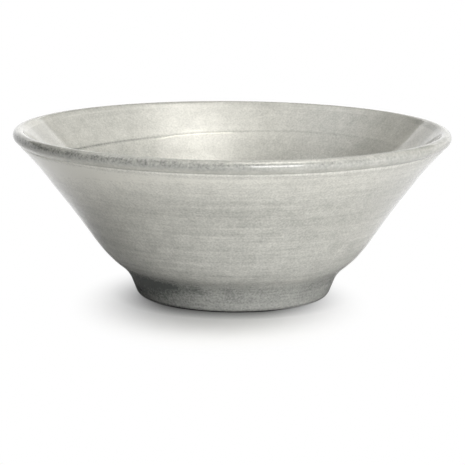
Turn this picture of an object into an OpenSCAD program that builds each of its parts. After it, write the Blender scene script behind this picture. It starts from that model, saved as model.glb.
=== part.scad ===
// Thrown stoneware bowl: a flared wall with a rolled rim on a small leaning foot ring.
// The clay is three pieces, joined wet: the thrown body, the rolled rim and the foot ring.
// Four glaze coats lie on it, and only the foot's contact face is bare.
// Every section is drawn as [radius, height] and turned about the Z axis.
// The origin is on the table, at the middle of the foot. Sizes are millimetres.

/* [Bowl] */
// Diameter over the glazed rim
rim_d = 200; // [180:1:240]
// Height from the table to the top of the glazed rim
bowl_h = 76.7; // [68:0.1:90]

/* [Wall] */
// Thickness of the clay at the rim and the collar
wall_t = 4.4; // [3.6:0.1:5.6]
// Thickness of the clay low down, at the neck
belly_t = 5.7; // [4.6:0.1:7.5]
// Thickness of the clay floor at its middle
floor_t = 5; // [4:0.1:8]
// Lean of the wall from upright where it leaves the neck
belly_angle = 56; // [50:1:60]
// How far the belly's curve is drawn out, as a share of the wall's length
belly_share = 0.29; // [0.24:0.01:0.34]
// How far the trumpet's curve is drawn out, as a share of the wall's length
trumpet_share = 0.67; // [0.6:0.01:0.72]

/* [Rim] */
// Lean of the wall from upright just under the rolled rim
rim_angle = 43; // [40:1:46]
// Length of the straight skirt between the rolled edge and the groove under it
skirt_l = 0.8; // [0.5:0.1:1.6]
// Width of the shallow groove under the rolled rim
groove_w = 2.6; // [2:0.1:3.6]
// Depth of the groove under the rolled rim
groove_d = 0.3; // [0.1:0.05:0.4]

/* [Collar and well] */
// Height of the flared collar, from the top of the clay rim down to the crease
collar_h = 12.9; // [9:0.1:18]
// Width of the finger line that rings the foot of the collar
finger_w = 2.4; // [2:0.1:3.6]
// Depth of the finger line
finger_d = 0.2; // [0.1:0.05:0.3]
// Height above the floor at which the well's side begins to turn level
well_turn_h = 8.5; // [6:0.1:14]
// How far the side runs on before it turns, as a share of the way to the corner under it
well_side_share = 0.6; // [0.5:0.01:0.8]
// How far the level floor reaches out, as a share of that corner's radius
well_floor_share = 0.8; // [0.6:0.01:0.95]

/* [Foot] */
// Outer diameter of the bare face that stands on the table
foot_d = 82; // [74:1:92]
// Width of the bare contact face
contact_w = 6; // [4:0.1:8]
// Lean of the foot's outer face from upright, wider at the top
foot_lean = 22; // [10:1:26]
// Radius of the foot's outer bottom edge
foot_edge_r = 3.6; // [2.4:0.1:4.4]
// Radius of the foot's inner bottom edge
foot_inner_r = 1.5; // [1:0.1:2]
// Height of the neck, where the foot's face and the wall would meet
neck_h = 11.9; // [10.5:0.1:14]
// How far the hollow blend at the neck reaches along the foot and along the wall
neck_blend = 2.5; // [1.5:0.1:3]

/* [Recess] */
// Depth of the recess inside the foot ring, at its edge
recess_h = 6; // [5:0.1:7.2]
// Lean of the recess's side from upright, narrower at the top
recess_lean = 12; // [0:1:20]
// Rise of the dished ceiling from its edge to its middle
recess_dish = 1; // [0.4:0.1:1.6]

/* [Glaze] */
// Thickness of the glaze coats
glaze_t = 0.5; // [0.3:0.05:0.7]
// Angle below level at which the outside coat stops on the foot's bottom edge
glaze_stop_angle = 50; // [35:1:60]
// Reach of the pooled glaze in the corner of the recess
pool_reach = 2; // [1:0.1:3]

/* [Hidden] */
$fn = 128;
// Colours of the fired clay and of the grey glaze
clay_colour = [0.80, 0.74, 0.65];
glaze_colour = [0.71, 0.72, 0.68];
// Steps along each kind of curve; a dip's steps are even, so that its bottom is a point
edge_steps = 6;
blend_steps = 5;
wall_steps = 22;
dip_steps = 8;
nose_steps = 14;
side_steps = 16;
floor_steps = 14;
dish_steps = 5;
// Halvings in the search for a height along the well's side
search_steps = 24;

// A unit step that leans a given angle outwards from upright
function lean(a) = [sin(a), cos(a)];
// A unit step level with the angle a, counted from outwards to upwards
function turn(a) = [cos(a), sin(a)];
// The unit vector to the right of a step, which is out of the clay on every line below
function side(step) = [step.y, -step.x] / norm(step);
// The point where the line from p along d meets the line from q along e
function meet(p, d, q, e) = p + d * cross(q - p, e) / cross(d, e);
// Points of an arc round a centre
function arc(centre, r, from, to, steps) =
    [for (i = [0:steps]) centre + r * turn(from + (to - from) * i / steps)];
// A point of a curve with two handles, and the curve's direction there
function curve_at(a, b, c, d, t) =
    a * pow(1 - t, 3) + 3 * b * t * pow(1 - t, 2) + 3 * c * t * t * (1 - t) + d * pow(t, 3);
function curve_step(a, b, c, d, t) =
    (b - a) * pow(1 - t, 2) + 2 * (c - b) * t * (1 - t) + (d - c) * t * t;
// Points of a curve that leaves a towards corner and arrives at b from it
function blend(a, corner, b, steps) =
    [for (i = [0:steps]) let (t = i / steps)
        a * pow(1 - t, 2) + 2 * corner * t * (1 - t) + b * t * t];
// Points of a shallow dip, pressed into the line from a to b, level with it at both ends
function dip(a, b, depth, steps) =
    [for (i = [0:steps]) let (t = i / steps)
        a + (b - a) * t - side(b - a) * depth * (1 - cos(360 * t)) / 2];
// The neighbours of a line's point; past an end on the axis the line goes on mirrored
function before(line, i) =
    i > 0 ? line[i - 1] : line[0].x == 0 ? [-line[1].x, line[1].y] : 2 * line[0] - line[1];
function after(line, i) =
    i < len(line) - 1 ? line[i + 1]
    : line[i].x == 0 ? [-line[i - 1].x, line[i - 1].y] : 2 * line[i] - line[i - 1];
// The line t outside another, with each stretch parallel to its own
function skin(line, t) =
    [for (i = [0:len(line) - 1])
        let (m = side(line[i] - before(line, i)) + side(after(line, i) - line[i]))
        line[i] + 2 * t * m / (m * m)];
// The point of the well's side that lies square across the clay from a point of the wall
function well_at(t) =
    curve_at(neck, belly, trumpet, wall_top, t)
    - side(curve_step(neck, belly, trumpet, wall_top, t)) * (belly_t + (wall_t - belly_t) * t);
// The share of the way along the wall at which the well's side reaches a height
function share_at(z, low, high, steps) =
    let (mid = (low + high) / 2)
    steps == 0 ? mid
    : well_at(mid).y < z ? share_at(z, mid, high, steps - 1) : share_at(z, low, mid, steps - 1);
// Part of a list, and a list in reverse
function part(list, from, to) = [for (i = [from:to]) list[i]];
function back(list) = [for (i = [len(list) - 1:-1:0]) list[i]];

// Foot: its outer bottom edge, and its face up to the neck's corner
contact_r = foot_d / 2;
foot_edge_c = [contact_r, foot_edge_r];
foot_face = foot_edge_c + foot_edge_r * turn(-foot_lean);
neck = meet(foot_face, lean(foot_lean), [0, neck_h], turn(0));
foot_seam = meet(foot_face, lean(foot_lean), [0, recess_h], turn(0));

// Rim: a rolled edge as thick as the wall, a short skirt and a groove below it
nose_r = wall_t / 2;
nose_c = [rim_d / 2 - glaze_t - nose_r, bowl_h - glaze_t - nose_r];
skirt = nose_c + nose_r * turn(-rim_angle);
groove_top = skirt - skirt_l * lean(rim_angle);
wall_top = groove_top - groove_w * lean(rim_angle);

// Wall: one curve from the neck's corner to the groove, with its two handles
wall_l = norm(wall_top - neck);
belly = neck + belly_share * wall_l * lean(belly_angle);
trumpet = wall_top - trumpet_share * wall_l * lean(rim_angle);
wall_from = neck_blend / (3 * norm(belly - neck));
wall_start = curve_at(neck, belly, trumpet, wall_top, wall_from);
wall_step = curve_step(neck, belly, trumpet, wall_top, wall_from);
neck_start = neck - neck_blend * lean(foot_lean);
neck_corner = meet(neck_start, lean(foot_lean), wall_start, wall_step);

// Inside: the well's side follows the wall, under clay that thickens towards the neck
floor_z = recess_h + recess_dish + floor_t;
clay_top = nose_c.y + nose_r;
crease_t = share_at(clay_top - collar_h, 0, 1, search_steps);
crease = well_at(crease_t);
turn_t = share_at(floor_z + well_turn_h, 0, 1, search_steps);
well_turn = well_at(turn_t);
well_corner = meet(well_turn, curve_step(neck, belly, trumpet, wall_top, turn_t), [0, floor_z], turn(0));
well_side = well_turn + well_side_share * (well_corner - well_turn);
well_floor = [well_floor_share * well_corner.x, floor_z];
well_bottom = [0, floor_z];

// Collar: a straight flare from the crease, which just touches the round of the rim
collar_angle = atan2(nose_c.x - crease.x, nose_c.y - crease.y) - asin(nose_r / norm(nose_c - crease));
finger_top = crease + finger_w * lean(collar_angle);

// Stretches of the clay's outline, from the foot up the outside and down the inside
foot_edge = arc(foot_edge_c, foot_edge_r, -glaze_stop_angle, -foot_lean, edge_steps);
neck_line = blend(neck_start, neck_corner, wall_start, blend_steps);
wall_line = [for (i = [1:wall_steps - 1])
    curve_at(neck, belly, trumpet, wall_top, wall_from + (1 - wall_from) * i / wall_steps)];
groove_line = dip(wall_top, groove_top, groove_d, dip_steps);
nose_line = arc(nose_c, nose_r, -rim_angle, 180 - collar_angle, nose_steps);
groove_bottom = groove_line[dip_steps / 2];
rim_seam = meet(groove_bottom, turn(180 - collar_angle), crease, lean(collar_angle));
finger_line = dip(finger_top, crease, finger_d, dip_steps);
well_side_line = [for (i = [1:side_steps]) well_at(crease_t + (turn_t - crease_t) * i / side_steps)];
well_floor_line = [for (i = [1:floor_steps])
    curve_at(well_turn, well_side, well_floor, well_bottom, i / floor_steps)];

// The whole outline, and the places on it where one piece ends and the next starts
outline = concat(foot_edge, neck_line, wall_line, groove_line, nose_line,
                 [rim_seam], finger_line, well_side_line, well_floor_line);
neck_i = len(foot_edge);
groove_i = neck_i + len(neck_line) + len(wall_line) + dip_steps / 2;
seam_i = groove_i + dip_steps / 2 + len(nose_line) + 1;
last_i = len(outline) - 1;
glazed = skin(outline, glaze_t);

// Recess: the inner bottom edge and side of the foot ring, and the dished ceiling
inner_edge_c = [contact_r - contact_w, foot_inner_r];
recess_side = inner_edge_c + foot_inner_r * turn(180 + recess_lean);
recess_top = meet(recess_side, lean(-recess_lean), [0, recess_h], turn(0));
dish_mid = [0, recess_h + recess_dish];
dish_line = blend(recess_top, [recess_top.x / 2, dish_mid.y], dish_mid, dish_steps);

// One coat over a stretch of the outline
module coat(from, to) {
    color(glaze_colour)
        rotate_extrude()
            polygon(concat(part(outline, from, to), back(part(glazed, from, to))));
}

// Floor and wall, thrown from one ball of clay
module thrown_body() {
    color(clay_colour)
        rotate_extrude()
            polygon(concat(back(dish_line), [foot_seam], part(outline, neck_i, groove_i),
                           part(outline, seam_i, last_i)));
}

// The edge of the wall, rolled outwards into a round band
module rolled_rim() {
    color(clay_colour)
        rotate_extrude()
            polygon(part(outline, groove_i, seam_i));
}

// The ring that is thrown on under the floor, with its bare contact face
module foot_ring() {
    color(clay_colour)
        rotate_extrude()
            polygon(concat(arc(foot_edge_c, foot_edge_r, -90, -glaze_stop_angle, edge_steps),
                           part(outline, 1, neck_i - 1), [foot_seam, recess_top],
                           arc(inner_edge_c, foot_inner_r, 180 + recess_lean, 270, edge_steps)));
}

// The coat poured into the well, from its middle up to the rolled rim
module inside_glaze() {
    coat(seam_i, last_i);
}

// The thicker coat of the dipped rim
module rim_glaze() {
    coat(groove_i, seam_i);
}

// The brushed coat on the wall and the foot, which stops short of the table
module outside_glaze() {
    coat(0, groove_i);
}

// The coat in the recess, pooled in the corner under the ceiling
module underside_glaze() {
    clay = concat(back(dish_line), [recess_side]);
    face = skin(clay, glaze_t);
    corner_i = len(clay) - 2;
    corner = face[corner_i];
    inwards = face[corner_i - 1] - corner;
    down = face[corner_i + 1] - corner;
    pool = blend(corner + pool_reach * inwards / norm(inwards), corner,
                 corner + pool_reach * down / norm(down), blend_steps);
    color(glaze_colour)
        rotate_extrude()
            polygon(concat(back(clay), part(face, 0, corner_i - 1), pool, [face[corner_i + 1]]));
}

thrown_body();
rolled_rim();
foot_ring();
inside_glaze();
rim_glaze();
outside_glaze();
underside_glaze();
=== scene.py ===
"""A glazed stoneware bowl: thrown clay, four glaze coats, a plain studio and the camera.

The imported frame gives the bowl's place and its main sizes. Each clay piece and each coat is
turned again here from the same half section, in finer steps and with the slight unevenness of
a pot thrown by hand, and gets its own procedural finish.
"""

import logging
import math
from dataclasses import dataclass
from enum import Enum

import bmesh
import bpy
from bpy.types import Light, Material, Node, NodeSocket, NodeTree, Object
from mathutils import Euler, Matrix, Vector

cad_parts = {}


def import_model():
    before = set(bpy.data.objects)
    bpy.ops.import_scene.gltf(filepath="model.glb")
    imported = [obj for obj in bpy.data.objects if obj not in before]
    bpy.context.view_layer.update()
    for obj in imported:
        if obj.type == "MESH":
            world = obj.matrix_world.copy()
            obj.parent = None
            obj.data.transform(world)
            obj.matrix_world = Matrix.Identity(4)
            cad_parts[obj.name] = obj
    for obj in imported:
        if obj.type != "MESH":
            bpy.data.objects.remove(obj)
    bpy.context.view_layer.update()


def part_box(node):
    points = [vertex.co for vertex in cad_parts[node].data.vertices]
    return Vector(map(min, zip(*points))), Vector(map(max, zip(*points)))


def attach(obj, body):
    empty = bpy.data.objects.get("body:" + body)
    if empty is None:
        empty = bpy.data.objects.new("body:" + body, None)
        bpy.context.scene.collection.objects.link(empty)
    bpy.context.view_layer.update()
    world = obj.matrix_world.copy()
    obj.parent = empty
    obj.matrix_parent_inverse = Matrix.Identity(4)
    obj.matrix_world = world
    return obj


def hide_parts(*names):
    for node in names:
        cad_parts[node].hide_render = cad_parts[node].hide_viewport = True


LOG = logging.getLogger("bowl")

MM = 0.001
PHOTO_PX = 465
BODY = "root"
# Its layer holds the pooled glaze together with painted shade and painted light
POOL_AND_PAINTED_LIGHT_LAYER = "glaze_pool_and_painted_light"
# A point nearer to the axis than this, in millimetres, lies on it
ON_AXIS = 1e-6
# Nearly all values of a noise texture lie between these two
NOISE_LOW = 0.25
NOISE_HIGH = 0.75


class Coat(Enum):
    """The four glaze coats, by the CAD node that each stands for."""

    WELL = "inside_glaze"
    RIM = "rim_glaze"
    WALL = "outside_glaze"
    RECESS = "underside_glaze"


class Clay(Enum):
    """The three pieces of clay, by the CAD node that each stands for."""

    BODY = "thrown_body"
    RIM = "rolled_rim"
    FOOT = "foot_ring"


# Plane geometry of the half section: every point is (radius, height) in millimetres


def lean(angle: float) -> Vector:
    """A unit step that leans an angle in degrees outwards from upright."""
    return Vector((math.sin(math.radians(angle)), math.cos(math.radians(angle))))


def turn(angle: float) -> Vector:
    """A unit step at an angle in degrees, counted from outwards to upwards."""
    return Vector((math.cos(math.radians(angle)), math.sin(math.radians(angle))))


def side(step: Vector) -> Vector:
    """The unit vector to the right of a step, which points out of the clay."""
    return Vector((step.y, -step.x)).normalized()


def cross(a: Vector, b: Vector) -> float:
    """The cross product of two plane vectors."""
    return a.x * b.y - a.y * b.x


def meet(p: Vector, d: Vector, q: Vector, e: Vector) -> Vector:
    """The point where the line from p along d meets the line from q along e."""
    return p + d * (cross(q - p, e) / cross(d, e))


def arc(centre: Vector, radius: float, start: float, end: float, steps: int) -> list[Vector]:
    """Points of an arc.

    Args:
        centre: The arc's centre.
        radius: The arc's radius in millimetres.
        start: The first point's angle in degrees.
        end: The last point's angle in degrees.
        steps: The number of steps between them.

    Returns:
        The points, both ends included.
    """
    return [centre + radius * turn(start + (end - start) * i / steps) for i in range(steps + 1)]


def blend(a: Vector, corner: Vector, b: Vector, steps: int) -> list[Vector]:
    """Points of a curve that leaves a towards a corner and arrives at b from it.

    Args:
        a: The first point.
        corner: The point that both ends aim at.
        b: The last point.
        steps: The number of steps between them.

    Returns:
        The points, both ends included.
    """
    shares = [i / steps for i in range(steps + 1)]
    return [a * (1 - t) ** 2 + corner * 2 * t * (1 - t) + b * t * t for t in shares]


def dip(a: Vector, b: Vector, depth: float, steps: int) -> list[Vector]:
    """Points of a shallow dip pressed into the line from a to b, level with it at both ends.

    Args:
        a: The first point.
        b: The last point.
        depth: How deep the dip's middle is, in millimetres.
        steps: The number of steps between them.

    Returns:
        The points, both ends included.
    """
    inwards = -side(b - a) * depth
    shares = [i / steps for i in range(steps + 1)]
    return [a.lerp(b, t) + inwards * (1 - math.cos(math.tau * t)) / 2 for t in shares]


def hump(off: float, up: float, down: float) -> float:
    """A smooth hump that is 1 at no offset and fades to 0 above and below it.

    Args:
        off: How far above the hump's top the place is, negative below it.
        up: How far above the top the hump ends.
        down: How far below the top the hump ends.

    Returns:
        The hump's height there, from 0 to 1.
    """
    fade = off / up if off > 0 else -off / down
    return (1 + math.cos(math.pi * min(1.0, fade))) / 2


def mix_waves(wave: float, other: float) -> float:
    """Two waves between -1 and 1 added up to one share between 0 and 1."""
    return (2 + wave + other) / 4


def skin(line: list[Vector], thickness: float) -> list[Vector]:
    """The line that lies a thickness outside another, stretch by stretch parallel to it.

    Args:
        line: The points of the clay's surface.
        thickness: The coat's thickness in millimetres.

    Returns:
        As many points as the line has. At an end on the axis the line goes on mirrored.
    """

    def past(end: Vector, neighbour: Vector) -> Vector:
        """The point at which the line would go on past one of its ends."""
        on_axis = abs(end.x) < ON_AXIS
        return Vector((-neighbour.x, neighbour.y)) if on_axis else 2 * end - neighbour

    longer = [past(line[0], line[1]), *line, past(line[-1], line[-2])]
    face = []
    for before, point, after in zip(longer, longer[1:], longer[2:]):
        both = side(point - before) + side(after - point)
        face.append(point + both * (2 * thickness / both.length_squared))
    return face


@dataclass(frozen=True)
class Curve:
    """A curve with two handles, between two points of the half section."""

    a: Vector
    b: Vector
    c: Vector
    d: Vector

    def at(self, t: float) -> Vector:
        """The point at a share t of the way."""
        s = 1 - t
        return self.a * s**3 + self.b * 3 * t * s * s + self.c * 3 * t * t * s + self.d * t**3

    def step(self, t: float) -> Vector:
        """The direction at a share t of the way."""
        s = 1 - t
        return (self.b - self.a) * s * s + (self.c - self.b) * 2 * t * s + (self.d - self.c) * t * t


@dataclass(frozen=True)
class Sizes:
    """The bowl's sizes as the construction has them, where its glaze lies thick or thin, and where
    the upper wall is painted lighter.

    Lengths are in millimetres, angles in degrees.
    """

    rim_d: float
    bowl_h: float
    wall_t: float = 4.4
    belly_t: float = 5.7
    floor_t: float = 5.0
    belly_angle: float = 56.0
    belly_share: float = 0.29
    trumpet_share: float = 0.67
    rim_angle: float = 43.0
    skirt_l: float = 0.8
    groove_w: float = 2.6
    groove_d: float = 0.3
    collar_h: float = 12.9
    finger_w: float = 2.4
    finger_d: float = 0.2
    well_turn_h: float = 8.5
    well_side_share: float = 0.6
    well_floor_share: float = 0.8
    foot_d: float = 82.0
    contact_w: float = 6.0
    foot_lean: float = 22.0
    foot_edge_r: float = 3.6
    foot_inner_r: float = 1.5
    neck_h: float = 11.9
    neck_blend: float = 2.5
    recess_h: float = 6.0
    recess_lean: float = 12.0
    recess_dish: float = 1.0
    glaze_t: float = 0.5
    glaze_stop_angle: float = 50.0
    glaze_level_share: float = 0.1
    glaze_neck_blend: float = 5.0
    recess_pool: float = 2.0
    # These two place the thinner glaze and the painted light on the wall under the rim
    thin_and_lit_from: float = 5.5
    skirt_thin_and_lit_from: float = 2.5
    roll_pool_angle: float = 18.0

    @classmethod
    def from_frame(cls) -> "Sizes":
        """The sizes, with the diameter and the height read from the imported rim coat."""
        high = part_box(Coat.RIM.value)[1]
        return cls(rim_d=2 * high.x / MM, bowl_h=high.z / MM)


@dataclass(frozen=True)
class Pool:
    """A place where the glaze gathers, or thins if the amount is negative. Some also stand for
    painted shade, and a thinning one for painted light.

    The reach is in millimetres. An amount of 1 turns the glaze fully to its pooled colour.
    """

    place: Vector
    reach: float
    amount: float

    def at(self, point: Vector) -> float:
        """How much glaze this place adds at a point of the section, fading with the distance."""
        return self.amount * math.exp(-(((point - self.place).length / self.reach) ** 2))


@dataclass(frozen=True)
class LightAndShadePatch:
    """A place on one side of a coat whose glaze is painted darker, as painted shade, or lighter,
    as painted light, if the amount is negative.

    Its direction is in degrees from the bowl's right towards its back, its height and its two
    reaches are in millimetres, and its amount is in the measure of a pool's.
    """

    direction: float
    height: float
    reach_round: float
    reach_up: float
    amount: float

    def at(self, point: Vector) -> float:
        """How much painted shade this patch adds at a point of the piece, fading with the distance.

        Args:
            point: The point in metres.

        Returns:
            The added painted shade, negative for painted light.
        """
        turned = math.atan2(point.y, point.x) - math.radians(self.direction)
        along = math.remainder(turned, math.tau) * math.hypot(point.x, point.y) / MM
        above = point.z / MM - self.height
        return self.amount * math.exp(-((along / self.reach_round) ** 2 + (above / self.reach_up) ** 2))


class HalfSection:
    """The bowl's half section, from which every piece of clay and every coat is turned."""

    EDGE_STEPS = 10
    BLEND_STEPS = 12
    WALL_STEPS = 72
    DIP_STEPS = 24
    NOSE_STEPS = 40
    SIDE_STEPS = 72
    FLOOR_STEPS = 32
    DISH_STEPS = 16
    SEARCH_STEPS = 24
    SIDE_CROWDING = 1.4

    def __init__(self, sizes: Sizes) -> None:
        """Works out every line of the section from the sizes.

        Args:
            sizes: The bowl's sizes.
        """
        self.sizes = sizes
        self._foot()
        self._rim()
        self._wall()
        self._well()
        self._outline()
        self._recess()

    def _foot(self) -> None:
        """The foot's outer bottom edge, and its face up to the neck's corner."""
        s = self.sizes
        self.edge_c = Vector((s.foot_d / 2, s.foot_edge_r))
        self.foot_face = self.edge_c + s.foot_edge_r * turn(-s.foot_lean)
        level = turn(0)
        self.neck = meet(self.foot_face, lean(s.foot_lean), Vector((0, s.neck_h)), level)
        self.foot_seam = meet(self.foot_face, lean(s.foot_lean), Vector((0, s.recess_h)), level)

    def _rim(self) -> None:
        """The rolled edge, the short skirt under it and the groove."""
        s = self.sizes
        self.nose_r = s.wall_t / 2
        inset = s.glaze_t + self.nose_r
        self.nose_c = Vector((s.rim_d / 2 - inset, s.bowl_h - inset))
        skirt = self.nose_c + self.nose_r * turn(-s.rim_angle)
        self.groove_top = skirt - s.skirt_l * lean(s.rim_angle)
        self.wall_top = self.groove_top - s.groove_w * lean(s.rim_angle)

    def _wall(self) -> None:
        """One curve from the neck to the groove, and the hollow blend at the neck."""
        s = self.sizes
        length = (self.wall_top - self.neck).length
        belly = self.neck + s.belly_share * length * lean(s.belly_angle)
        trumpet = self.wall_top - s.trumpet_share * length * lean(s.rim_angle)
        self.wall = Curve(self.neck, belly, trumpet, self.wall_top)
        self.handle_l = (belly - self.neck).length
        self.wall_from = s.glaze_neck_blend / (3 * self.handle_l)
        self.neck_line = self._neck_blend(s.neck_blend)

    def _neck_blend(self, reach: float) -> list[Vector]:
        """The hollow between foot and wall, rounded off.

        Args:
            reach: How far up the wall and down the foot the rounding goes, in millimetres.

        Returns:
            The hollow's points, from the foot's face to the wall.
        """
        s = self.sizes
        share = reach / (3 * self.handle_l)
        start = self.wall.at(share)
        low = self.neck - reach * lean(s.foot_lean)
        corner = meet(low, lean(s.foot_lean), start, self.wall.step(share))
        return blend(low, corner, start, self.BLEND_STEPS)

    def _well_at(self, t: float) -> Vector:
        """The point of the well's side square across the clay from a point of the wall.

        Args:
            t: The share of the way up the wall.

        Returns:
            The point on the well's side.
        """
        s = self.sizes
        thickness = s.belly_t + (s.wall_t - s.belly_t) * t
        return self.wall.at(t) - side(self.wall.step(t)) * thickness

    def _share_at(self, height: float) -> float:
        """The share of the way up the wall at which the well's side reaches a height.

        Args:
            height: The height in millimetres.

        Returns:
            The share, found by halving.
        """
        low, high = 0.0, 1.0
        for _ in range(self.SEARCH_STEPS):
            mid = (low + high) / 2
            low, high = (mid, high) if self._well_at(mid).y < height else (low, mid)
        return (low + high) / 2

    def _well(self) -> None:
        """The collar, the crease under it, the well's side and its floor."""
        s = self.sizes
        floor_z = s.recess_h + s.recess_dish + s.floor_t
        crease_t = self._share_at(self.nose_c.y + self.nose_r - s.collar_h)
        turn_t = self._share_at(floor_z + s.well_turn_h)
        self.crease = self._well_at(crease_t)
        foot = self._well_at(turn_t)
        corner = meet(foot, self.wall.step(turn_t), Vector((0, floor_z)), turn(0))
        floor = Curve(
            foot,
            foot.lerp(corner, s.well_side_share),
            Vector((s.well_floor_share * corner.x, floor_z)),
            Vector((0, floor_z)),
        )
        to_nose = self.nose_c - self.crease
        flare = math.atan2(to_nose.x, to_nose.y) - math.asin(self.nose_r / to_nose.length)
        self.collar_angle = math.degrees(flare)
        self.finger_top = self.crease + s.finger_w * lean(self.collar_angle)
        # The steps are shortest next to the crease, where a thin dark line runs along it
        even = [i / self.SIDE_STEPS for i in range(1, self.SIDE_STEPS + 1)]
        shares = [t**self.SIDE_CROWDING for t in even]
        self.side_line = [self._well_at(crease_t + (turn_t - crease_t) * t) for t in shares]
        self.floor_line = [
            floor.at(i / self.FLOOR_STEPS) for i in range(1, self.FLOOR_STEPS + 1)
        ]

    def _outline(self) -> None:
        """The clay's whole outline, the glaze's face over it, and the seams between coats."""
        s = self.sizes
        edge = arc(self.edge_c, s.foot_edge_r, -s.glaze_stop_angle, -s.foot_lean, self.EDGE_STEPS)
        shares = [i / self.WALL_STEPS for i in range(1, self.WALL_STEPS)]
        wall = [self.wall.at(self.wall_from + (1 - self.wall_from) * t) for t in shares]
        filled = self._neck_blend(s.glaze_neck_blend)
        groove = dip(self.wall_top, self.groove_top, s.groove_d, self.DIP_STEPS)
        inner = 180 - self.collar_angle
        nose = arc(self.nose_c, self.nose_r, -s.rim_angle, inner, self.NOSE_STEPS)
        self.groove_bottom = groove[self.DIP_STEPS // 2]
        self.rim_seam = meet(
            self.groove_bottom, turn(inner), self.crease, lean(self.collar_angle)
        )
        above = [*wall, *groove, *nose, self.rim_seam]
        below = [*self.side_line, *self.floor_line]
        finger = dip(self.finger_top, self.crease, s.finger_d, self.DIP_STEPS)
        self.outline = [*edge, *self.neck_line, *above, *finger, *below]
        # Melted glaze fills the neck and the finger line, so its face is flatter than the clay
        depth = s.glaze_level_share * s.finger_d
        levelled = dip(self.finger_top, self.crease, depth, self.DIP_STEPS)
        self.glazed = skin([*edge, *filled, *above, *levelled, *below], s.glaze_t)
        self.neck_i = len(edge)
        self.groove_i = self.neck_i + len(self.neck_line) + len(wall) + self.DIP_STEPS // 2
        self.seam_i = self.groove_i + self.DIP_STEPS // 2 + len(nose) + 1
        self.last_i = len(self.outline) - 1

    def _recess(self) -> None:
        """The inner edge and side of the foot ring, and the dished ceiling of the recess."""
        s = self.sizes
        self.inner_c = Vector((s.foot_d / 2 - s.contact_w, s.foot_inner_r))
        self.recess_side = self.inner_c + s.foot_inner_r * turn(180 + s.recess_lean)
        self.recess_top = meet(
            self.recess_side, lean(-s.recess_lean), Vector((0, s.recess_h)), turn(0)
        )
        middle = Vector((0, s.recess_h + s.recess_dish))
        handle = Vector((self.recess_top.x / 2, middle.y))
        self.dish_line = blend(self.recess_top, handle, middle, self.DISH_STEPS)

    def coat(self, start: int, end: int) -> list[Vector]:
        """The closed section of one coat over the outline's corners from start to end."""
        return self.outline[start : end + 1] + self.glazed[start : end + 1][::-1]

    def recess_coat(self) -> list[Vector]:
        """The section of the coat under the floor, pooled in the corner of the recess.

        Returns:
            The closed section's corners.
        """
        clay = self.dish_line[::-1] + [self.recess_side]
        face = skin(clay, self.sizes.glaze_t)
        corner = face[-2]
        reach = self.sizes.recess_pool
        start = corner + reach * (face[-3] - corner).normalized()
        end = corner + reach * (face[-1] - corner).normalized()
        pool = blend(start, corner, end, self.BLEND_STEPS)
        return clay[::-1] + face[:-2] + pool + [face[-1]]

    def body(self) -> list[Vector]:
        """The section of the floor and the wall.

        Returns:
            The closed section's corners.
        """
        wall = self.outline[self.neck_i : self.groove_i + 1]
        well = self.outline[self.seam_i : self.last_i + 1]
        return self.dish_line[::-1] + [self.foot_seam] + wall + well

    def rolled_rim(self) -> list[Vector]:
        """The section of the rolled rim."""
        return self.outline[self.groove_i : self.seam_i + 1]

    def foot_ring(self) -> list[Vector]:
        """The section of the foot ring, with its bare contact face.

        Returns:
            The closed section's corners.
        """
        s = self.sizes
        under = arc(self.edge_c, s.foot_edge_r, -90, -s.glaze_stop_angle, self.EDGE_STEPS)
        inner = arc(self.inner_c, s.foot_inner_r, 180 + s.recess_lean, 270, self.EDGE_STEPS)
        return under + self.outline[1 : self.neck_i] + [self.foot_seam, self.recess_top] + inner

    def pools(self) -> list[Pool]:
        """The places where the glaze gathered in a hollow or ran off an edge, and where shade and
        light are painted.

        Returns:
            The pools of all coats. A wide one reaches the coat on the wall's other side too.
        """
        s = self.sizes
        stop = self.glazed[0]
        up_wall = lean(s.rim_angle)
        roll = self.nose_c + (self.nose_r + s.glaze_t) * turn(s.roll_pool_angle)
        return [
            # At the neck and at the glaze's stop the pools are partly glaze gathered there and partly
            # painted shade, in the foot's hollow and along its line of contact
            Pool(self.neck, reach=4.5, amount=0.85),
            Pool((self.neck + stop) / 2, reach=6.0, amount=0.77),
            Pool(stop, reach=1.4, amount=0.5),
            Pool(self.wall_top, reach=0.45, amount=0.75),
            # These two lighten the wall under the rim, partly as thinner glaze and partly as painted
            # light
            Pool(self.wall_top - s.thin_and_lit_from * up_wall, reach=13.0, amount=-0.53),
            Pool(self.wall_top - s.skirt_thin_and_lit_from * up_wall, reach=4.0, amount=-0.12),
            Pool(self.groove_bottom, reach=0.7, amount=0.3),
            Pool(roll, reach=2.4, amount=0.42),
            Pool(self.crease, reach=0.55, amount=0.75),
            # This wide pool is painted shade, which the runs deepen on the bowl's shaded side
            Pool(self.crease, reach=24.0, amount=0.16),
            Pool(self.recess_top, reach=3.0, amount=0.8),
        ]


# The hand of the thrower, and turning a section into a piece


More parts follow.
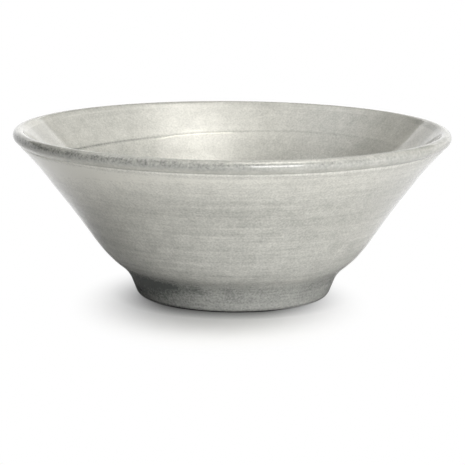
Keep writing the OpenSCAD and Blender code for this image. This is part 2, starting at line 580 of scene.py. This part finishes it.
@dataclass(frozen=True)
class Hand:
    """The slight unevenness of a bowl thrown, turned and glazed by hand.

    The wall bells out a little under the rim, the foot was turned a little off centre, and the
    crease inside isn't level. The rings and the oval lie inwards of the true bowl of revolution,
    and the rim's wave below it. The glaze is deeper to one side at the foot and to another at the
    rim, partly as glaze that ran there and partly as painted shade on the bowl's shaded side.
    Lengths are in millimetres, angles in radians, and the two runs are shares.
    """

    ring_pitch: float = 6.2
    ring_depth: float = 0.05
    rings_from: float = 16.0
    rings_to: float = 68.0
    ring_fade: float = 6.0
    out_of_round: float = 0.12
    oval_phase: float = 0.7
    rim_wave: float = 0.18
    wave_phase: float = 2.1
    crease_drop: float = 0.95
    crease_tilt: float = 0.6
    crease_tilt_at: float = math.radians(80)
    crease_wave: float = 1.4
    crease_wave_at: float = math.radians(40)
    crease_fade_up: float = 8.0
    crease_fade_down: float = 24.0
    bell: float = 0.88
    bell_z: float = 50.0
    bell_fade_up: float = 15.0
    bell_fade_down: float = 42.0
    off_centre: float = 0.88
    off_centre_z: float = 8.0
    off_centre_fade: float = 50.0
    # The pools deepen towards the back left at the foot and the left at the rim, partly as glaze that
    # ran there and partly as painted shade on the bowl's shaded side
    low_run_and_shade: float = 0.64
    low_run_and_shade_to: float = math.radians(128)
    high_run_and_shade: float = 0.95
    high_run_and_shade_to: float = math.radians(190)

    def flow(self, point: Vector, section: HalfSection) -> float:
        """How many times its usual depth a pool of glaze has, deeper to one side, partly as glaze
        that ran there and partly as painted shade.

        Args:
            point: The point of the true bowl, in metres.
            section: The half section that the bowl is turned from.

        Returns:
            The factor, about 1.
        """
        share = point.z / MM / section.sizes.bowl_h
        # Deeper towards one side, as glaze that ran there and as painted shade
        run_and_shade = self.low_run_and_shade + (self.high_run_and_shade - self.low_run_and_shade) * share
        run_and_shade_to = self.low_run_and_shade_to + (self.high_run_and_shade_to - self.low_run_and_shade_to) * share
        return 1 + run_and_shade * math.cos(math.atan2(point.y, point.x) - run_and_shade_to)

    def _slide(self, point: Vector, section: HalfSection) -> float:
        """How far up a point goes with the crease, which a rib cut a little unlevel.

        Args:
            point: The point of the true bowl, in metres.
            section: The half section that the bowl is turned from.

        Returns:
            The rise in millimetres, most of it at the crease's height.
        """
        above = point.z / MM - section.crease.y
        angle = math.atan2(point.x, point.y)
        rise = self.crease_tilt * math.cos(angle - self.crease_tilt_at) - self.crease_drop
        rise += self.crease_wave * math.cos(2 * (angle - self.crease_wave_at))
        return rise * hump(above, self.crease_fade_up, self.crease_fade_down)

    def move(self, point: Vector, section: HalfSection) -> Vector:
        """Where a point of the true bowl of revolution lies on the thrown one.

        Args:
            point: The point in metres.
            section: The half section that the bowl is turned from.

        Returns:
            The moved point in metres.
        """
        radius = math.hypot(point.x, point.y)
        height = point.z / MM
        above_foot = max(0.0, height - self.off_centre_z)
        off_centre = self.off_centre * MM
        off_centre *= hump(above_foot, self.off_centre_fade, self.off_centre_fade)
        # The middle of the floor and of the recess has no side that it could bulge to
        if radius < MM:
            return point + Vector((off_centre, 0.0, 0.0))
        slide = self._slide(point, section) * MM
        angle = math.atan2(point.y, point.x)
        share = max(0.0, height / section.sizes.bowl_h)
        fade_in = min(1.0, max(0.0, (height - self.rings_from) / self.ring_fade))
        fade_out = min(1.0, max(0.0, (self.rings_to - height) / self.ring_fade))
        spiral = math.tau * height / self.ring_pitch + angle
        ring = self.ring_depth * fade_in * fade_out * (1 - math.cos(spiral)) / 2
        oval = mix_waves(math.cos(2 * angle - self.oval_phase), math.cos(3 * angle))
        oval *= self.out_of_round * share
        wave = mix_waves(math.cos(2 * angle + self.wave_phase), math.sin(3 * angle))
        wave *= self.rim_wave * share**3
        bell = self.bell * hump(height - self.bell_z, self.bell_fade_up, self.bell_fade_down)
        outwards = slide * math.tan(math.radians(section.collar_angle))
        scale = 1 + (outwards + (bell - ring - oval) * MM) / radius
        x = point.x * scale + off_centre
        return Vector((x, point.y * scale, point.z + slide - wave * MM))


@dataclass(frozen=True)
class Wheel:
    """Turns sections of the bowl about its axis. Its weld is in metres, its angle in radians."""

    section: HalfSection
    hand: Hand
    steps: int = 256
    doublings: int = 3
    weld: float = 2e-6
    sharp_angle: float = math.radians(35)

    def throw(
        self, name: str, line: list[Vector], light_and_shade: tuple[LightAndShadePatch, ...] = ()
    ) -> Object:
        """Spins a closed section into a piece.

        Args:
            name: The piece's name.
            line: The section's corners, as (radius, height) in millimetres.
            light_and_shade: Where one side of the piece has painted shade or painted light.

        Returns:
            The piece, at the origin, with the pooled glaze, the painted shade and the painted light
            as a layer on its points.
        """
        pools = self.section.pools()
        bm = bmesh.new()
        layer = bm.verts.layers.float.new(POOL_AND_PAINTED_LIGHT_LAYER)
        corners = []
        for point in line:
            corner = bm.verts.new((max(0.0, point.x) * MM, 0.0, point.y * MM))
            corner[layer] = sum(pool.at(point) for pool in pools)
            corners.append(corner)
        edges = [
            bm.edges.new(pair)
            for pair in zip(corners, corners[1:] + corners[:1])
            if max(corner.co.x for corner in pair) > self.weld
        ]
        # A long spin is slow, so an eighth is spun and then doubled three times
        share = math.tau / 2**self.doublings
        bmesh.ops.spin(
            bm, geom=corners + edges, cent=(0, 0, 0), axis=(0, 0, 1), dvec=(0, 0, 0),
            angle=share, space=Matrix.Identity(4), steps=self.steps // 2**self.doublings,
            use_merge=False, use_normal_flip=False, use_duplicate=False,
        )
        for doubling in range(self.doublings):
            copy = bmesh.ops.duplicate(bm, geom=bm.verts[:] + bm.edges[:] + bm.faces[:])
            bmesh.ops.rotate(
                bm, cent=(0, 0, 0), matrix=Matrix.Rotation(share * 2**doubling, 3, "Z"),
                verts=[part for part in copy["geom"] if isinstance(part, bmesh.types.BMVert)],
            )
        bmesh.ops.remove_doubles(bm, verts=bm.verts[:], dist=self.weld)
        bmesh.ops.recalc_face_normals(bm, faces=bm.faces[:])
        for edge in bm.edges:
            edge.smooth = edge.calc_face_angle(0.0) < self.sharp_angle
        for face in bm.faces:
            face.smooth = True
        # The runs and each patch add painted shade and painted light to the pooled glaze
        for vert in bm.verts:
            vert[layer] *= self.hand.flow(vert.co, self.section)
            vert[layer] += sum(patch.at(vert.co) for patch in light_and_shade)
            vert.co = self.hand.move(vert.co, self.section)
        mesh = bpy.data.meshes.new(name)
        bm.to_mesh(mesh)
        bm.free()
        piece = bpy.data.objects.new(name, mesh)
        bpy.context.scene.collection.objects.link(piece)
        return piece


# Finishes


def linear(hex_colour: str) -> tuple[float, float, float, float]:
    """The linear colour of an sRGB value, by the sRGB standard's own numbers.

    Args:
        hex_colour: Red, green and blue as six hex digits, such as "c4c3ba".

    Returns:
        Red, green, blue and an alpha of 1.
    """
    shares = [int(hex_colour[i : i + 2], 16) / 255 for i in (0, 2, 4)]
    parts = [c / 12.92 if c <= 0.04045 else ((c + 0.055) / 1.055) ** 2.4 for c in shares]
    return (*parts, 1.0)


def add_node(
    tree: NodeTree, kind: str, settings: dict | None = None, inputs: dict | None = None
) -> Node:
    """Adds a node, with its settings, and its sockets set or linked.

    Args:
        tree: The node tree of a material, a lamp or the world.
        kind: The node's type.
        settings: Values of the node's own options, by name.
        inputs: For each socket, by name or place, its value or what it is linked to, which is
            a socket, or a node where its first output is meant.

    Returns:
        The new node.
    """
    node = tree.nodes.new(kind)
    for name, value in (settings or {}).items():
        setattr(node, name, value)
    for name, value in (inputs or {}).items():
        source = value.outputs[0] if isinstance(value, Node) else value
        if isinstance(source, NodeSocket):
            tree.links.new(source, node.inputs[name])
        else:
            node.inputs[name].default_value = source
    return node


def new_material(name: str) -> tuple[Material, NodeTree]:
    """Adds a material with an empty node tree.

    Args:
        name: The material's name.

    Returns:
        The material and its node tree.
    """
    material = bpy.data.materials.new(name)
    material.use_nodes = True
    material.node_tree.nodes.clear()
    return material, material.node_tree


@dataclass(frozen=True)
class BrushedGlaze:
    """Semi-opaque grey stoneware glaze, brushed and dipped, fired glossy.

    It is mottled at about a millimetre, with slow clouds of several millimetres and level
    streaks left by the brush. Lengths are in millimetres. The glaze's depth is counted from its
    usual coat, in the measure of a pool's amount, and also carries painted shade and painted
    light: it has its thin colour at the thinnest below 0, and its pooled colour from 1 on.
    """

    # The thin colour also serves as painted light and the pooled colour as painted shade
    thin: str = "f0efe9"
    pooled: str = "5c605d"
    thinnest: float = 0.72
    mottle: float = 0.8
    mottle_depth: float = 0.3
    pooled_contrast: float = 1.0
    cloud: float = 7.0
    cloud_depth: float = 0.12
    streak_length: float = 55.0
    streak_height: float = 1.5
    streak_depth: float = 0.16
    streak_radius: float = 80.0
    ior: float = 1.5
    roughness: float = 0.035
    dimple_in_mottles: float = 2.2
    dimple_rise: float = 0.008

    def material(self, name: str) -> Material:
        """Builds the glaze's material.

        Args:
            name: The material's name.

        Returns:
            The material.
        """
        material, tree = new_material(name)
        place = add_node(tree, "ShaderNodeTexCoord").outputs["Object"]
        in_mm = add_node(
            tree, "ShaderNodeVectorMath", {"operation": "SCALE"}, {0: place, "Scale": 1 / MM}
        )
        # The pool layer holds the pooled glaze together with painted shade and painted light
        pool = add_node(
            tree, "ShaderNodeAttribute", {"attribute_name": POOL_AND_PAINTED_LIGHT_LAYER}
        ).outputs["Fac"]
        mottle = self._mottle(tree, in_mm, pool)
        streaks = self._streaks(tree, in_mm)
        shade = add_node(tree, "ShaderNodeMath", {"operation": "ADD"}, {0: mottle, 1: streaks})
        depth = add_node(tree, "ShaderNodeMath", {"operation": "ADD"}, {0: pool, 1: shade})
        share = add_node(
            tree, "ShaderNodeMapRange", {"clamp": True},
            {"Value": depth, "From Min": -self.thinnest, "From Max": 1.0},
        )
        colour = add_node(
            tree, "ShaderNodeMix", {"data_type": "RGBA"},
            {"Factor": share, "A": linear(self.thin), "B": linear(self.pooled)},
        ).outputs["Result"]
        dimples = add_node(
            tree, "ShaderNodeTexNoise", {"noise_dimensions": "3D"},
            {"Vector": in_mm, "Scale": 1 / (self.dimple_in_mottles * self.mottle), "Detail": 1.0},
        )
        bump = add_node(
            tree, "ShaderNodeBump", None,
            {"Height": dimples, "Strength": 1.0, "Distance": self.dimple_rise * MM},
        )
        # Melted glass over a soft grey: clear reflections that the faint dimples waver a little,
        # near white with a hint of green where the coat is thin and where light is painted, and slate
        # where it pooled and where shade is painted
        glass = add_node(
            tree, "ShaderNodeBsdfPrincipled", None,
            {
                "Base Color": colour, "Roughness": self.roughness, "IOR": self.ior,
                "Normal": bump,
            },
        )
        add_node(tree, "ShaderNodeOutputMaterial", None, {"Surface": glass})
        return material

    def _variation(
        self, tree: NodeTree, place: Node, size: float, depth: float, detail: float, fine: float
    ) -> Node:
        """Adds a random change of the glaze's depth, about zero.

        Args:
            tree: The material's node tree.
            place: Where the pattern is read.
            size: How large its spots are, in the place's units.
            depth: How far it mostly goes to either side of zero.
            detail: How many finer layers it has.
            fine: How strong the finer layers are.

        Returns:
            The change.
        """
        noise = add_node(
            tree, "ShaderNodeTexNoise", {"noise_dimensions": "3D"},
            {"Vector": place, "Scale": 1 / size, "Detail": detail, "Roughness": fine},
        )
        return add_node(
            tree, "ShaderNodeMapRange", {"clamp": False},
            {
                "Value": noise, "From Min": NOISE_LOW, "From Max": NOISE_HIGH,
                "To Min": -depth, "To Max": depth,
            },
        )

    def _mottle(self, tree: NodeTree, in_mm: Node, pool: NodeSocket) -> Node:
        """Adds the fine mottling, which has its own contrast in a pool, and the slow clouds.

        Args:
            tree: The material's node tree.
            in_mm: The place on the bowl, in millimetres.
            pool: How much glaze has pooled there.

        Returns:
            Both changes of the glaze's depth together.
        """
        fine = self._variation(tree, in_mm, self.mottle, self.mottle_depth, detail=1.5, fine=0.6)
        contrast = add_node(
            tree, "ShaderNodeMapRange", {"clamp": True},
            {"Value": pool, "To Min": 1.0, "To Max": self.pooled_contrast},
        )
        fine = add_node(tree, "ShaderNodeMath", {"operation": "MULTIPLY"}, {0: fine, 1: contrast})
        slow = self._variation(tree, in_mm, self.cloud, self.cloud_depth, detail=2.0, fine=0.5)
        return add_node(tree, "ShaderNodeMath", {"operation": "ADD"}, {0: fine, 1: slow})

    def _streaks(self, tree: NodeTree, in_mm: Node) -> Node:
        """Adds the brush's level streaks, which are drawn out round the bowl's axis.

        Args:
            tree: The material's node tree.
            in_mm: The place on the bowl, in millimetres.

        Returns:
            The change of the glaze's depth.
        """
        split = add_node(tree, "ShaderNodeSeparateXYZ", None, {0: in_mm})
        level = add_node(
            tree, "ShaderNodeCombineXYZ", None, {"X": split.outputs["X"], "Y": split.outputs["Y"]}
        )
        around = add_node(tree, "ShaderNodeVectorMath", {"operation": "NORMALIZE"}, {0: level})
        # The streaks have their full length where the bowl has the streak radius
        around = add_node(
            tree, "ShaderNodeVectorMath", {"operation": "SCALE"},
            {0: around, "Scale": self.streak_radius / self.streak_length},
        )
        rise = add_node(
            tree, "ShaderNodeMath", {"operation": "DIVIDE"},
            {0: split.outputs["Z"], 1: self.streak_height},
        )
        up = add_node(tree, "ShaderNodeCombineXYZ", None, {"Z": rise})
        drawn_out = add_node(
            tree, "ShaderNodeVectorMath", {"operation": "ADD"}, {0: around, 1: up}
        )
        return self._variation(tree, drawn_out, 1.0, self.streak_depth, detail=3.0, fine=0.6)


@dataclass(frozen=True)
class FiredClay:
    """Bare stoneware clay, sponged smooth and fired, with fine grit. Lengths in millimetres."""

    # Both colours are darker than the clay's own buff, as painted shade along the foot's line of
    # contact
    pale: str = "b3a797"
    dark: str = "8d8172"
    grit: float = 0.7
    grit_rise: float = 0.08
    grit_from: float = 0.35
    grit_to: float = 0.7
    roughness: float = 0.85

    def material(self, name: str) -> Material:
        """Builds the clay's material.

        Args:
            name: The material's name.

        Returns:
            The material.
        """
        material, tree = new_material(name)
        place = add_node(tree, "ShaderNodeTexCoord").outputs["Object"]
        grain = add_node(
            tree, "ShaderNodeTexNoise", {"noise_dimensions": "3D"},
            {"Vector": place, "Scale": 1 / (self.grit * MM), "Detail": 3.0, "Roughness": 0.65},
        )
        share = add_node(
            tree, "ShaderNodeMapRange", {"clamp": True},
            {"Value": grain, "From Min": self.grit_from, "From Max": self.grit_to},
        )
        colour = add_node(
            tree, "ShaderNodeMix", {"data_type": "RGBA"},
            {"Factor": share, "A": linear(self.pale), "B": linear(self.dark)},
        ).outputs["Result"]
        bump = add_node(
            tree, "ShaderNodeBump", None,
            {"Height": grain, "Strength": 1.0, "Distance": self.grit_rise * MM},
        )
        # Unglazed clay scatters the light: sandy buff, set darker as painted shade along the line of
        # contact, and quite matt, like fine sandpaper
        clay = add_node(
            tree, "ShaderNodeBsdfPrincipled", None,
            {"Base Color": colour, "Roughness": self.roughness, "Normal": bump},
        )
        add_node(tree, "ShaderNodeOutputMaterial", None, {"Surface": clay})
        return material


@dataclass(frozen=True)
class WhitePaper:
    """Matt white studio paper that takes the bowl's shadow and is plain white round it.

    What the camera and the reflections see fades from the shaded paper to plain white between
    two distances from the shadow's middle, which are larger for reflections. The fade is drawn
    out in depth, as the shadow is, by a factor, and the line of contact is shaded a little
    more. What the paper throws back on the bowl is less, as from paper that only the lamps near
    the bowl light. Lengths are in metres.
    """

    seen: str = "ffffff"
    bounce: str = "babab7"
    clear_from: float = 0.020
    clear_to: float = 0.069
    mirror_from: float = 0.07
    mirror_to: float = 0.14
    shadow_x: float = -0.005
    shadow_y: float = -0.025
    shadow_depth: float = 1.41
    contact_reach: float = 0.013
    contact_samples: int = 8

    def material(self, name: str, clear: bool = False) -> Material:
        """Builds the paper's material.

        Args:
            name: The material's name.
            clear: Whether the whole sheet is plain white, and not only away from the bowl.

        Returns:
            The material.
        """
        material, tree = new_material(name)
        rays = add_node(tree, "ShaderNodeLightPath")
        camera = rays.outputs["Is Camera Ray"]
        mirrored = add_node(
            tree, "ShaderNodeMath", {"operation": "ADD", "use_clamp": True},
            {0: rays.outputs["Is Glossy Ray"], 1: rays.outputs["Is Transmission Ray"]},
        )
        seen = add_node(
            tree, "ShaderNodeMath", {"operation": "ADD", "use_clamp": True},
            {0: camera, 1: mirrored},
        )
        colour = add_node(
            tree, "ShaderNodeMix", {"data_type": "RGBA"},
            {"Factor": seen, "A": linear(self.bounce), "B": linear(self.seen)},
        ).outputs["Result"]
        shaded = add_node(
            tree, "ShaderNodeAmbientOcclusion", {"samples": self.contact_samples},
            {"Color": colour, "Distance": self.contact_reach},
        ).outputs["Color"]
        # Matt paper has no shine: only the soft shade under the bowl tells it from its light
        paper = add_node(tree, "ShaderNodeBsdfDiffuse", None, {"Color": shaded})
        white = add_node(tree, "ShaderNodeEmission", None, {"Color": linear(self.seen)})
        share = seen if clear else self._away_from_bowl(tree, camera, mirrored)
        both = add_node(tree, "ShaderNodeMixShader", None, {0: share, 1: paper, 2: white})
        add_node(tree, "ShaderNodeOutputMaterial", None, {"Surface": both})
        return material

    def _away_from_bowl(self, tree: NodeTree, camera: NodeSocket, mirrored: Node) -> Node:
        """The share of plain white on a sheet that keeps the bowl's shadow.

        Args:
            tree: The material's node tree.
            camera: Whether the camera sees the sheet.
            mirrored: Whether a reflection does.

        Returns:
            The share, and none for the light that the sheet throws back.
        """
        place = add_node(tree, "ShaderNodeTexCoord").outputs["Object"]
        place = add_node(
            tree, "ShaderNodeMapping", {"vector_type": "TEXTURE"},
            {
                "Vector": place, "Location": (self.shadow_x, self.shadow_y, 0.0),
                "Scale": (1.0, self.shadow_depth, 1.0),
            },
        )
        away = add_node(
            tree, "ShaderNodeVectorMath", {"operation": "LENGTH"}, {0: place}
        ).outputs["Value"]
        shares = []
        for kind, start, end in (
            (camera, self.clear_from, self.clear_to),
            (mirrored, self.mirror_from, self.mirror_to),
        ):
            grown = add_node(
                tree, "ShaderNodeMapRange", {"interpolation_type": "SMOOTHSTEP"},
                {"Value": away, "From Min": start, "From Max": end},
            )
            shares.append(
                add_node(tree, "ShaderNodeMath", {"operation": "MULTIPLY"}, {0: kind, 1: grown})
            )
        return add_node(
            tree, "ShaderNodeMath", {"operation": "ADD"}, {0: shares[0], 1: shares[1]}
        )


# The bowl's sub-assemblies, the studio and the camera


def dress(piece: Object, material: Material, node: str) -> None:
    """Gives a piece its finish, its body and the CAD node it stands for.

    Args:
        piece: The piece.
        material: Its finish.
        node: The CAD node that it replaces.
    """
    piece.data.materials.append(material)
    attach(piece, BODY)
    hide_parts(node)
    LOG.info("%s stands for %s, %d faces", piece.name, node, len(piece.data.polygons))


@dataclass(frozen=True)
class ThrownClay:
    """The three pieces of clay: the body, the rolled rim and the foot ring."""

    wheel: Wheel
    finish: FiredClay = FiredClay()
    slot: str = "stoneware"

    def build(self) -> None:
        """Turns and dresses the three pieces."""
        material = self.finish.material("fired_stoneware")
        section = self.wheel.section
        lines = {
            Clay.BODY: section.body(),
            Clay.RIM: section.rolled_rim(),
            Clay.FOOT: section.foot_ring(),
        }
        for clay, line in lines.items():
            dress(self.wheel.throw(f"{clay.value}_clay", line), material, clay.value)


@dataclass(frozen=True)
class GlazeCoats:
    """The four glaze coats, each a shell over its stretch of the clay.

    Each patch gives its direction, height, reach round the bowl, reach up the coat and amount:
    positive amounts are painted shade on the coat's side, negative ones painted light.
    """

    wheel: Wheel
    well: BrushedGlaze = BrushedGlaze(thinnest=0.95, mottle=0.9, mottle_depth=0.22, streak_depth=0.06)
    rim: BrushedGlaze = BrushedGlaze(thinnest=0.95, mottle=1.1, mottle_depth=0.18, pooled_contrast=4.5)
    wall: BrushedGlaze = BrushedGlaze(mottle=0.9, mottle_depth=0.25, streak_depth=0.17)
    recess: BrushedGlaze = BrushedGlaze(streak_depth=0.05)
    # Painted shade and painted light round the inside of the well
    well_light_and_shade: tuple[LightAndShadePatch, ...] = (
        LightAndShadePatch(172, 70, 22, 12, 0.28),
        LightAndShadePatch(140, 70, 45, 12, 0.24),
        LightAndShadePatch(128, 76, 60, 5, 0.16),
        LightAndShadePatch(60, 70, 30, 8, 0.24),
        LightAndShadePatch(14, 68, 24, 12, -0.28),
        LightAndShadePatch(110, 53, 38, 10, -0.42),
        LightAndShadePatch(82, 65, 24, 12, -0.22),
    )
    # Painted shade on the left of the rim
    rim_light_and_shade: tuple[LightAndShadePatch, ...] = (
        LightAndShadePatch(138, 76, 55, 9, 0.26),
    )
    # Painted shade and painted light round the outer wall and the foot
    wall_light_and_shade: tuple[LightAndShadePatch, ...] = (
        LightAndShadePatch(215, 67, 45, 5, -0.1),
        LightAndShadePatch(322, 67, 40, 5, -0.15),
        LightAndShadePatch(222, 54, 32, 9, -0.22),
        LightAndShadePatch(276, 61, 50, 4.5, 0.08),
        LightAndShadePatch(247, 42, 34, 11, -0.16),
        LightAndShadePatch(336, 35, 25, 12, -0.14),
        LightAndShadePatch(206, 31, 24, 10, 0.18),
        LightAndShadePatch(257, 25, 18, 5, -0.1),
        LightAndShadePatch(223, 17, 15, 4, 0.2),
        LightAndShadePatch(298, 14.5, 26, 4, -0.14),
        LightAndShadePatch(256, 9, 12, 5, -0.2),
        LightAndShadePatch(325, 6, 22, 7, 0.14),
        LightAndShadePatch(85, 9, 46, 10, -1.5),
    )

    def build(self) -> None:
        """Turns and dresses the four coats."""
        section = self.wheel.section
        well = section.coat(section.seam_i, section.last_i)
        rim = section.coat(section.groove_i, section.seam_i)
        wall = section.coat(0, section.groove_i)
        coats = {
            Coat.WELL: (self.well, well, self.well_light_and_shade),
            Coat.RIM: (self.rim, rim, self.rim_light_and_shade),
            Coat.WALL: (self.wall, wall, self.wall_light_and_shade),
            Coat.RECESS: (self.recess, section.recess_coat(), ()),
        }
        for coat, (glaze, line, light_and_shade) in coats.items():
            material = glaze.material(f"glossy_{coat.value}")
            piece = self.wheel.throw(f"{coat.value}_coat", line, light_and_shade)
            dress(piece, material, coat.value)


@dataclass(frozen=True)
class SoftBox:
    """A studio lamp behind a diffuser, placed by direction, which looks at the bowl.

    Its azimuth is 0 behind the bowl and 90 on its right. Its width lies level, or towards the
    azimuth that it lies along. Angles are in degrees, lengths in metres, and the power is in
    watts. A lamp that fades is an oval, and its middle glows the peak's number of times as
    strongly as an even lamp of that power.
    """

    name: str
    azimuth: float
    elevation: float
    width: float
    height: float
    power: float
    distance: float = 1.5
    fade: bool = False
    lies: float | None = None
    colour: str = "ffffff"
    peak: float = 3.0

    def build(self, target: Vector) -> Object:
        """Hangs the lamp at its place, turned to the target.

        Args:
            target: The point that the lamp looks at, in metres.

        Returns:
            The lamp.
        """
        level = math.cos(math.radians(self.elevation))
        away = Vector((
            level * math.sin(math.radians(self.azimuth)),
            level * math.cos(math.radians(self.azimuth)),
            math.sin(math.radians(self.elevation)),
        ))
        light = bpy.data.lights.new(self.name, "AREA")
        light.shape = "ELLIPSE" if self.fade else "RECTANGLE"
        light.size = self.width
        light.size_y = self.height
        light.energy = self.power
        light.color = linear(self.colour)[:3]
        if self.fade:
            self._fade(light)
        lamp = bpy.data.objects.new(self.name, light)
        lies = math.radians(self.azimuth + 90 if self.lies is None else self.lies)
        along = Vector((math.sin(lies), math.cos(lies), 0.0))
        along = (along - away * along.dot(away)).normalized()
        facing = Matrix((along, away.cross(along), away)).transposed().to_4x4()
        lamp.matrix_world = Matrix.Translation(target + away * self.distance) @ facing
        bpy.context.scene.collection.objects.link(lamp)
        LOG.info("%s hangs %.2f m from the bowl", self.name, self.distance)
        return lamp

    def _fade(self, light: Light) -> None:
        """Lets the diffuser glow most in its middle and fade out to its edge.

        Args:
            light: The lamp's light.
        """
        light.use_nodes = True
        tree = light.node_tree
        tree.nodes.clear()
        # A lamp's face runs from 0 to 1 both ways
        place = add_node(tree, "ShaderNodeNewGeometry").outputs["Parametric"]
        middle = (0.5, 0.5, 0.0)
        off = add_node(
            tree, "ShaderNodeVectorMath", {"operation": "DISTANCE"}, {0: place, 1: middle}
        ).outputs["Value"]
        strength = add_node(
            tree, "ShaderNodeMapRange", {"interpolation_type": "SMOOTHSTEP"},
            {"Value": off, "From Max": 0.5, "To Min": self.peak, "To Max": 0.0},
        )
        glow = add_node(tree, "ShaderNodeEmission", None, {"Strength": strength})
        add_node(tree, "ShaderNodeOutputLight", None, {"Surface": glow})


@dataclass(frozen=True)
class Studio:
    """White paper under and behind the bowl, the lamps and a dim room. Lengths are in metres."""

    floor_size: float = 12.0
    backdrop_y: float = 1.6
    backdrop_h: float = 0.85
    backdrop_w: float = 6.0
    aim_height: float = 0.05
    ambient: float = 0.05

    def build(self) -> None:
        """Lays the floor, hangs the backdrop and the lamps, and lights the world."""
        self._sheet("floor", Matrix.Identity(4), self.floor_size, self.floor_size)
        upright = Matrix.Translation((0, self.backdrop_y, self.backdrop_h / 2))
        upright @= Matrix.Rotation(math.radians(90), 4, "X")
        self._sheet("backdrop", upright, self.backdrop_w, self.backdrop_h)
        target = Vector((0, 0, self.aim_height))
        for lamp in self._lamps():
            lamp.build(target)
        self._world()

    def _lamps(self) -> list[SoftBox]:
        """The lamps: a key at the front right, soft boxes above, and low lights behind.

        Returns:
            The lamps, not yet hung.
        """
        return [
            SoftBox("right_reflector", 112, 9, width=1.7, height=0.5, power=3.3),
            SoftBox("key_softbox", 158, 14, width=0.66, height=0.8, power=11.0),
            SoftBox(
                "key_spill", 158, 14, width=1.8, height=1.2, power=9.6, distance=1.6, fade=True
            ),
            SoftBox(
                "overhead_softbox", 131, 70, width=1.6, height=1.15, power=10.4,
                fade=True, lies=48, colour="fffcf3",
            ),
            SoftBox(
                "strip_light", 121, 72.6, width=1.3, height=0.13, power=1.7,
                fade=True, lies=68, colour="fff8e0",
            ),
            SoftBox("fill_softbox", -70, 60, width=1.6, height=1.4, power=3.7, fade=True),
            SoftBox("background_light", 0, 25.5, width=1.8, height=0.15, power=0.3),
            SoftBox("horizon_light", 8, 7, width=3.4, height=0.3, power=0.8),
        ]

    def _sheet(self, name: str, place: Matrix, width: float, height: float) -> None:
        """Adds one flat sheet of white paper.

        Args:
            name: The sheet's name. Only the floor keeps the bowl's shadow.
            place: Where a level sheet at the origin goes.
            width: Its width in metres.
            height: Its other side in metres.
        """
        bm = bmesh.new()
        # The grid's size is half its width, so the sheet starts as one metre square
        bmesh.ops.create_grid(bm, x_segments=1, y_segments=1, size=0.5)
        bmesh.ops.scale(bm, vec=(width, height, 1.0), verts=bm.verts[:])
        bmesh.ops.transform(bm, matrix=place, verts=bm.verts[:])
        mesh = bpy.data.meshes.new(name)
        bm.to_mesh(mesh)
        bm.free()
        sheet = bpy.data.objects.new(name, mesh)
        bpy.context.scene.collection.objects.link(sheet)
        mesh.materials.append(WhitePaper().material(f"white_paper_{name}", name != "floor"))

    def _world(self) -> None:
        """A dim grey room round the studio."""
        world = bpy.data.worlds.new("room")
        world.use_nodes = True
        world.node_tree.nodes.clear()
        sky = add_node(
            world.node_tree, "ShaderNodeBackground", None,
            {"Color": linear("ffffff"), "Strength": self.ambient},
        )
        add_node(world.node_tree, "ShaderNodeOutputWorld", None, {"Surface": sky})
        bpy.context.scene.world = world


@dataclass(frozen=True)
class PhotoCamera:
    """The camera at the photo's viewpoint. Lengths are in metres, angles in radians."""

    distance: float = 0.9358
    height: float = 0.2068
    pitch: float = 0.1890
    yaw: float = 0.00048
    roll: float = 0.0085
    focal_px: float = 2062.6
    sensor_mm: float = 36.0
    sight: float = 50.0

    def build(self) -> None:
        """Sets the camera up and makes it the scene's."""
        data = bpy.data.cameras.new("photo_camera")
        data.sensor_width = self.sensor_mm
        data.lens = self.sensor_mm * self.focal_px / PHOTO_PX
        data.clip_end = self.sight
        camera = bpy.data.objects.new("photo_camera", data)
        turned = Euler((math.pi / 2 - self.pitch, 0.0, -self.yaw)).to_matrix().to_4x4()
        rolled = turned @ Matrix.Rotation(self.roll, 4, "Z")
        camera.matrix_world = Matrix.Translation((0, -self.distance, self.height)) @ rolled
        bpy.context.scene.collection.objects.link(camera)
        bpy.context.scene.camera = camera


def main() -> None:
    """Loads the frame, builds the bowl, the studio and the camera."""
    logging.basicConfig(level=logging.INFO, format="%(name)s: %(message)s")
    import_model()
    bpy.context.scene.view_settings.view_transform = "Standard"
    PhotoCamera().build()
    wheel = Wheel(HalfSection(Sizes.from_frame()), Hand())
    ThrownClay(wheel).build()
    GlazeCoats(wheel).build()
    Studio().build()


if __name__ == "__main__":
    main()
